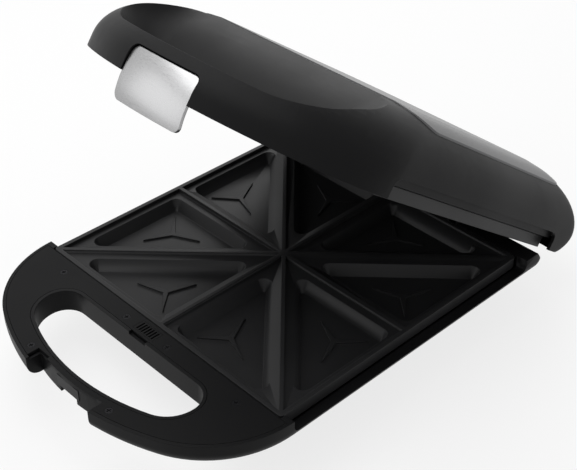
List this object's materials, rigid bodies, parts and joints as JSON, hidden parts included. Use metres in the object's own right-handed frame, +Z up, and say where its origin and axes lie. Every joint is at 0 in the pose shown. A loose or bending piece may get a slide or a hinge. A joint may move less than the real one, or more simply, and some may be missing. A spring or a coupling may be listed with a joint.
{
  "type": "sandwich maker",
  "caption": "Hinged electric sandwich maker with pocketed cooking plates, a looped handle on both halves, a steel top panel and a sprung front latch.",
  "frame": {"origin": "on the table, under the middle of the whole object's bounding box as it stands open", "axes": "+X to the right seen from the front, +Y from the handle to the hinge, +Z up"},
  "size_m": [0.268, 0.4094, 0.2634],
  "materials": {
    "shell_plastic": "satin moulded black",
    "deck_plastic": "fine matt black",
    "nonstick": "semi-gloss non-stick coating on cast aluminium",
    "heater_steel": "dull",
    "reflector": "mill",
    "brushed_steel": "brushed across",
    "screw_steel": "zinc plated",
    "dark_steel": "blackened",
    "rubber": "matt",
    "washer_nylon": "natural",
    "wire_sleeve": "woven heat-proof sleeve",
    "fuse_brass": "plain"
  },
  "bodies": {
    "base": {"base_shell": "shell_plastic", "deck_cover": "deck_plastic", "deck_vent": "deck_plastic", "deck_screws": "dark_steel", "lower_plate": "nonstick", "lower_heater": "heater_steel", "lower_reflector": "reflector", "lower_plate_screws": "screw_steel", "thermostat": "heater_steel", "thermal_fuse": "fuse_brass", "terminal_block": "washer_nylon", "base_wiring": "wire_sleeve", "cord_gland": "rubber", "rubber_feet": "rubber", "hinge_brackets": "deck_plastic", "bracket_screws": "screw_steel", "hinge_pins": "screw_steel", "hinge_washers": "washer_nylon", "latch_catch": "dark_steel"},
    "lid": {"lid_shell": "shell_plastic", "nose_cover": "deck_plastic", "nose_cover_screws": "dark_steel", "top_panel": "brushed_steel", "upper_plate": "nonstick", "upper_heater": "heater_steel", "upper_reflector": "reflector", "upper_plate_screws": "screw_steel", "lid_wiring": "wire_sleeve", "wire_clips": "washer_nylon", "hinge_arms": "screw_steel", "arm_screws": "screw_steel", "latch_pin": "screw_steel", "latch_spring": "screw_steel"},
    "latch": {"latch_plate": "brushed_steel", "latch_carrier": "deck_plastic"}
  },
  "joints": [
    {"name": "lid_hinge", "type": "hinge", "parent": "base", "child": "lid", "pos_m": [0, 0.1308, 0.009], "axis": [-1, 0, 0], "range_deg": [-35.8, 33]},
    {"name": "latch_pivot", "type": "hinge", "parent": "lid", "child": "latch", "pos_m": [0, -0.09677, 0.24957], "axis": [-1, 0, 0], "range_deg": [0, 15], "stiffness_Nm_per_rad": 0.4, "springref_deg": -8.59}
  ]
}
